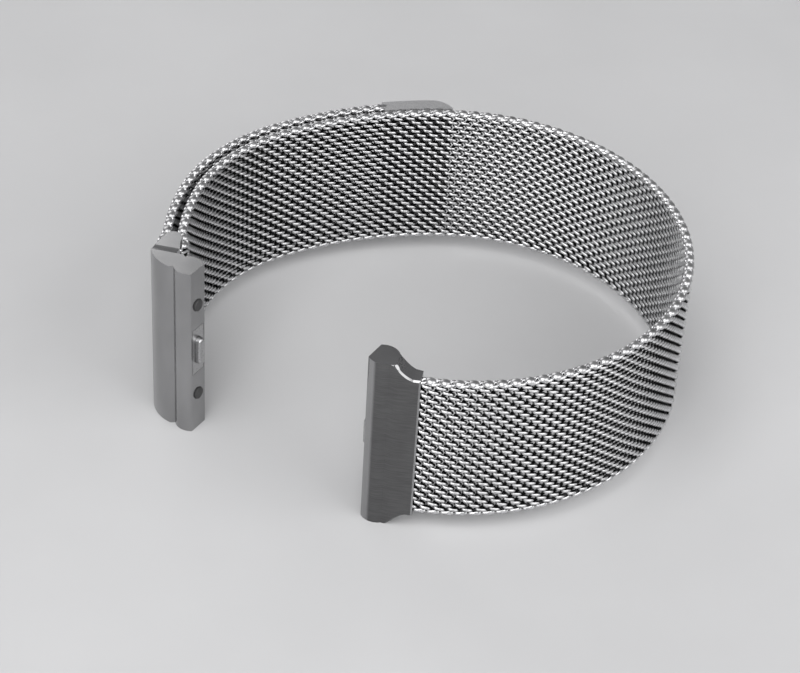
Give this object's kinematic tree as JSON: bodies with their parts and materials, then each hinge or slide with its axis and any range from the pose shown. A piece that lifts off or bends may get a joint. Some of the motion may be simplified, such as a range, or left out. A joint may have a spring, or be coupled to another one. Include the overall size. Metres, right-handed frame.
{
  "type": "milanese mesh watch band",
  "caption": "Woven steel mesh watch band in a closed loop, with a rail lug at each end, a slot lug that the mesh folds through, and a magnetic clasp.",
  "frame": {"origin": "middle of the underside of the box round the whole band, which stands on its edge", "axes": "+Z along the strap's width; the rails and the gap for the watch are towards -Y and -X, the clasp is towards +Y"},
  "size_m": [0.0682, 0.0622, 0.025],
  "materials": {
    "mesh": "woven wire, polished",
    "lug_steel": "brushed faces, polished edges",
    "latch_steel": "satin",
    "spring_steel": "drawn wire",
    "pad": "matte",
    "clasp_steel": "brushed",
    "magnet": "nickel plated"
  },
  "bodies": {
    "back_panel": {"mesh_back": "mesh", "mesh_left_1": "mesh"},
    "right_panel_01": {"mesh_right_01": "mesh"},
    "right_panel_02": {"mesh_right_02": "mesh"},
    "right_panel_03": {"mesh_right_03": "mesh"},
    "right_panel_04": {"mesh_right_04": "mesh"},
    "right_panel_05": {"mesh_right_05": "mesh"},
    "right_panel_06": {"mesh_right_06": "mesh"},
    "right_panel_07": {"mesh_right_07": "mesh"},
    "right_panel_08": {"mesh_right_08": "mesh"},
    "right_panel_09": {"mesh_right_09": "mesh"},
    "right_panel_10": {"mesh_right_10": "mesh"},
    "right_panel_11": {"mesh_right_11": "mesh"},
    "right_panel_12": {"mesh_right_12": "mesh"},
    "right_panel_13": {"mesh_right_13": "mesh"},
    "right_panel_14": {"mesh_right_14": "mesh"},
    "fixed_lug": {"mesh_right_15": "mesh", "fixed_lug": "lug_steel", "fixed_lug_pin": "latch_steel", "fixed_lug_keeper": "latch_steel", "fixed_lug_pads": "pad", "fixed_lug_latch_spring": "spring_steel"},
    "left_panel_2": {"mesh_left_2": "mesh"},
    "left_panel_3": {"mesh_left_3": "mesh"},
    "left_panel_4": {"mesh_left_4": "mesh"},
    "left_panel_5": {"mesh_left_5": "mesh"},
    "fold": {"mesh_left_6": "mesh", "mesh_fold": "mesh"},
    "flap_panel_6": {"mesh_flap_6": "mesh"},
    "flap_panel_5": {"mesh_flap_5": "mesh"},
    "flap_panel_4": {"mesh_flap_4": "mesh"},
    "flap_panel_3": {"mesh_flap_3": "mesh"},
    "flap_panel_2": {"mesh_flap_2": "mesh"},
    "flap_panel_1": {"mesh_flap_1": "mesh"},
    "clasp": {"clasp_shell": "clasp_steel", "clasp_base": "clasp_steel", "clasp_magnets": "magnet", "clasp_pin": "latch_steel"},
    "slot_lug": {"slot_lug": "lug_steel", "slot_lug_keeper": "latch_steel", "slot_lug_pads": "pad", "slot_lug_latch_spring": "spring_steel"},
    "fixed_lug_latch": {"fixed_lug_latch": "latch_steel"},
    "slot_lug_latch": {"slot_lug_latch": "latch_steel"}
  },
  "joints": [
    {"name": "back_flex", "type": "hinge", "parent": "back_panel", "child": "right_panel_01", "pos_m": [0.00493, 0.02823, 0.0125], "axis": [0, 0, 1], "range_deg": [-1, 12.43]},
    {"name": "back_flex_2", "type": "hinge", "parent": "right_panel_01", "child": "right_panel_02", "pos_m": [0.01122, 0.02737, 0.0125], "axis": [0, 0, 1], "range_deg": [-1, 12.43]},
    {"name": "back_flex_3", "type": "hinge", "parent": "right_panel_02", "child": "right_panel_03", "pos_m": [0.01718, 0.02519, 0.0125], "axis": [0, 0, 1], "range_deg": [-1, 12.43]},
    {"name": "back_flex_4", "type": "hinge", "parent": "right_panel_03", "child": "right_panel_04", "pos_m": [0.02252, 0.02177, 0.0125], "axis": [0, 0, 1], "range_deg": [-1, 12.43]},
    {"name": "back_flex_5", "type": "hinge", "parent": "right_panel_04", "child": "right_panel_05", "pos_m": [0.02701, 0.01728, 0.0125], "axis": [0, 0, 1], "range_deg": [-1, 12.43]},
    {"name": "side_flex", "type": "hinge", "parent": "right_panel_05", "child": "right_panel_06", "pos_m": [0.03042, 0.01193, 0.0125], "axis": [0, 0, 1], "range_deg": [-1, 12.43]},
    {"name": "side_flex_2", "type": "hinge", "parent": "right_panel_06", "child": "right_panel_07", "pos_m": [0.0326, 0.00597, 0.0125], "axis": [0, 0, 1], "range_deg": [-1, 12.43]},
    {"name": "side_flex_3", "type": "hinge", "parent": "right_panel_07", "child": "right_panel_08", "pos_m": [0.03345, -0.00031, 0.0125], "axis": [0, 0, 1], "range_deg": [-1, 12.43]},
    {"name": "side_flex_4", "type": "hinge", "parent": "right_panel_08", "child": "right_panel_09", "pos_m": [0.03293, -0.00664, 0.0125], "axis": [0, 0, 1], "range_deg": [-1, 12.43]},
    {"name": "side_flex_5", "type": "hinge", "parent": "right_panel_09", "child": "right_panel_10", "pos_m": [0.03105, -0.0127, 0.0125], "axis": [0, 0, 1], "range_deg": [-1, 12.43]},
    {"name": "front_flex", "type": "hinge", "parent": "right_panel_10", "child": "right_panel_11", "pos_m": [0.02792, -0.01822, 0.0125], "axis": [0, 0, 1], "range_deg": [-1, 12.43]},
    {"name": "front_flex_2", "type": "hinge", "parent": "right_panel_11", "child": "right_panel_12", "pos_m": [0.02367, -0.02293, 0.0125], "axis": [0, 0, 1], "range_deg": [-1, 12.43]},
    {"name": "front_flex_3", "type": "hinge", "parent": "right_panel_12", "child": "right_panel_13", "pos_m": [0.0185, -0.02662, 0.0125], "axis": [0, 0, 1], "range_deg": [-1, 12.43]},
    {"name": "front_flex_4", "type": "hinge", "parent": "right_panel_13", "child": "right_panel_14", "pos_m": [0.01266, -0.0291, 0.0125], "axis": [0, 0, 1], "range_deg": [-1, 12.43]},
    {"name": "front_flex_5", "type": "hinge", "parent": "right_panel_14", "child": "fixed_lug", "pos_m": [0.00643, -0.03028, 0.0125], "axis": [0, 0, 1], "range_deg": [-1, 12.43]},
    {"name": "left_flex", "type": "hinge", "parent": "back_panel", "child": "left_panel_2", "pos_m": [-0.01266, 0.02462, 0.0125], "axis": [0, 0, -1], "range_deg": [-1, 6]},
    {"name": "left_flex_2", "type": "hinge", "parent": "left_panel_2", "child": "left_panel_3", "pos_m": [-0.01893, 0.02133, 0.0125], "axis": [0, 0, -1], "range_deg": [-1, 6]},
    {"name": "left_flex_3", "type": "hinge", "parent": "left_panel_3", "child": "left_panel_4", "pos_m": [-0.02437, 0.01683, 0.0125], "axis": [0, 0, -1], "range_deg": [-1, 6]},
    {"name": "left_flex_4", "type": "hinge", "parent": "left_panel_4", "child": "left_panel_5", "pos_m": [-0.02825, 0.01093, 0.0125], "axis": [0, 0, -1], "range_deg": [-1, 6]},
    {"name": "left_flex_5", "type": "hinge", "parent": "left_panel_5", "child": "fold", "pos_m": [-0.03025, 0.00416, 0.0125], "axis": [0, 0, -1], "range_deg": [-1, 6]},
    {"name": "flap_lift", "type": "hinge", "parent": "fold", "child": "flap_panel_6", "pos_m": [-0.03276, -0.0029, 0.0125], "axis": [0, 0, 1], "range_deg": [0, 60]},
    {"name": "flap_flex_5", "type": "hinge", "parent": "flap_panel_6", "child": "flap_panel_5", "pos_m": [-0.03213, 0.00449, 0.0125], "axis": [0, 0, 1], "range_deg": [-1, 6]},
    {"name": "flap_flex_4", "type": "hinge", "parent": "flap_panel_5", "child": "flap_panel_4", "pos_m": [-0.02998, 0.01173, 0.0125], "axis": [0, 0, 1], "range_deg": [-1, 6]},
    {"name": "flap_flex_3", "type": "hinge", "parent": "flap_panel_4", "child": "flap_panel_3", "pos_m": [-0.02579, 0.0181, 0.0125], "axis": [0, 0, 1], "range_deg": [-1, 6]},
    {"name": "flap_flex_2", "type": "hinge", "parent": "flap_panel_3", "child": "flap_panel_2", "pos_m": [-0.01994, 0.02294, 0.0125], "axis": [0, 0, 1], "range_deg": [-1, 6]},
    {"name": "flap_flex_1", "type": "hinge", "parent": "flap_panel_2", "child": "flap_panel_1", "pos_m": [-0.01341, 0.02637, 0.0125], "axis": [0, 0, 1], "range_deg": [-1, 6]},
    {"name": "clasp_lift", "type": "hinge", "parent": "flap_panel_1", "child": "clasp", "pos_m": [-0.00642, 0.02873, 0.0125], "axis": [0, 0, 1], "range_deg": [0, 25]},
    {"name": "slot_lug_pivot", "type": "hinge", "parent": "fold", "child": "slot_lug", "pos_m": [-0.0318, -0.0054, 0.0125], "axis": [0, 0, 1], "range_deg": [-35, 35]},
    {"name": "fixed_lug_latch_press", "type": "slide", "parent": "fixed_lug", "child": "fixed_lug_latch", "axis": [0.8599, -0.5105, 0], "range_m": [0, 0.0007], "stiffness_N_per_m": 900, "deforming": ["fixed_lug_latch_spring"]},
    {"name": "slot_lug_latch_press", "type": "slide", "parent": "slot_lug", "child": "slot_lug_latch", "axis": [-0.8599, 0.5105, 0], "range_m": [0, 0.0007], "stiffness_N_per_m": 900, "deforming": ["slot_lug_latch_spring"]}
  ],
  "couplings": [
    {"joint": "back_flex_2", "follows": "back_flex", "ratio": 1},
    {"joint": "back_flex_3", "follows": "back_flex", "ratio": 1},
    {"joint": "back_flex_4", "follows": "back_flex", "ratio": 1},
    {"joint": "back_flex_5", "follows": "back_flex", "ratio": 1},
    {"joint": "side_flex_2", "follows": "side_flex", "ratio": 1},
    {"joint": "side_flex_3", "follows": "side_flex", "ratio": 1},
    {"joint": "side_flex_4", "follows": "side_flex", "ratio": 1},
    {"joint": "side_flex_5", "follows": "side_flex", "ratio": 1},
    {"joint": "front_flex_2", "follows": "front_flex", "ratio": 1},
    {"joint": "front_flex_3", "follows": "front_flex", "ratio": 1},
    {"joint": "front_flex_4", "follows": "front_flex", "ratio": 1},
    {"joint": "front_flex_5", "follows": "front_flex", "ratio": 1},
    {"joint": "left_flex_2", "follows": "left_flex", "ratio": 1},
    {"joint": "left_flex_3", "follows": "left_flex", "ratio": 1},
    {"joint": "left_flex_4", "follows": "left_flex", "ratio": 1},
    {"joint": "left_flex_5", "follows": "left_flex", "ratio": 1},
    {"joint": "flap_flex_5", "follows": "left_flex", "ratio": 1},
    {"joint": "flap_flex_4", "follows": "left_flex", "ratio": 1},
    {"joint": "flap_flex_3", "follows": "left_flex", "ratio": 1},
    {"joint": "flap_flex_2", "follows": "left_flex", "ratio": 1},
    {"joint": "flap_flex_1", "follows": "left_flex", "ratio": 1}
  ]
}
